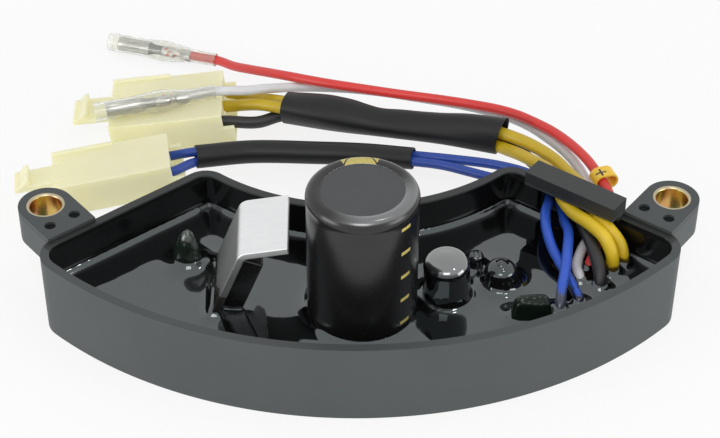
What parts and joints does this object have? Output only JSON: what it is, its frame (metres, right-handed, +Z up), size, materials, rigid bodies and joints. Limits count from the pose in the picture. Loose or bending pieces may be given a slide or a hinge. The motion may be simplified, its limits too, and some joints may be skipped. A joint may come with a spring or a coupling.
{
  "type": "automatic voltage regulator",
  "caption": "Potted generator voltage regulator: crescent tray with bushed ears, filter capacitor, bent heat sink and loose coloured leads ending in nylon plugs and bullet sockets.",
  "frame": {"origin": "on the base plane, under the middle of the box of the tray with its ears, leads left out", "axes": "+X along the line of the two bushes to the side of the leads' bridge bar, +Y from the long front wall to the hollow back wall, +Z up out of the tray"},
  "size_m": [0.1467, 0.1313, 0.0408],
  "materials": {
    "case_plastic": "moulded charcoal plastic",
    "bush_steel": "yellow passivated steel",
    "potting_resin": "mirror-glossy cast resin",
    "board": "laminate",
    "can_metal": "drawn aluminium",
    "capacitor_sleeve": "semi-gloss shrink sleeve",
    "capacitor_disc": "dull insulating disc",
    "tinned_metal": "tinned",
    "sink_metal": "bare mill-finish aluminium",
    "black_moulding": "resin-coated",
    "green_dip": "dipped resin",
    "resistor_body": "lacquer",
    "red_insulation": "soft vinyl",
    "white_insulation": "soft vinyl",
    "yellow_insulation": "soft vinyl",
    "black_insulation": "soft vinyl",
    "blue_insulation": "soft vinyl",
    "lead_sleeve": "soft black tubing",
    "marker_plastic": "amber tube",
    "plug_nylon": "translucent natural nylon",
    "clear_vinyl": "clear vinyl cover"
  },
  "bodies": {
    "root": {"case": "case_plastic", "left_bush": "bush_steel", "right_bush": "bush_steel", "circuit_board": "board", "potting": "potting_resin", "main_capacitor_can": "can_metal", "main_capacitor_sleeve": "capacitor_sleeve", "main_capacitor_disc": "capacitor_disc", "main_capacitor_pins": "tinned_metal", "heat_sink": "sink_metal", "power_transistor": "black_moulding", "transistor_legs": "tinned_metal", "small_capacitor": "black_moulding", "timing_capacitor": "black_moulding", "standing_diode": "black_moulding", "left_film_capacitor": "green_dip", "right_film_capacitor": "green_dip", "rectifier_diodes": "black_moulding", "resistors": "resistor_body", "red_lead": "red_insulation", "white_lead": "white_insulation", "front_yellow_lead": "yellow_insulation", "back_yellow_lead": "yellow_insulation", "black_lead": "black_insulation", "left_blue_lead": "blue_insulation", "right_blue_lead": "blue_insulation", "yellow_lead_sleeve": "lead_sleeve", "blue_lead_sleeve": "lead_sleeve", "polarity_marker": "marker_plastic", "two_way_plug": "plug_nylon", "two_way_terminals": "tinned_metal", "three_way_plug": "plug_nylon", "three_way_terminals": "tinned_metal", "red_socket": "tinned_metal", "red_socket_cover": "clear_vinyl", "white_socket": "tinned_metal", "white_socket_cover": "clear_vinyl"}
  },
  "joints": []
}
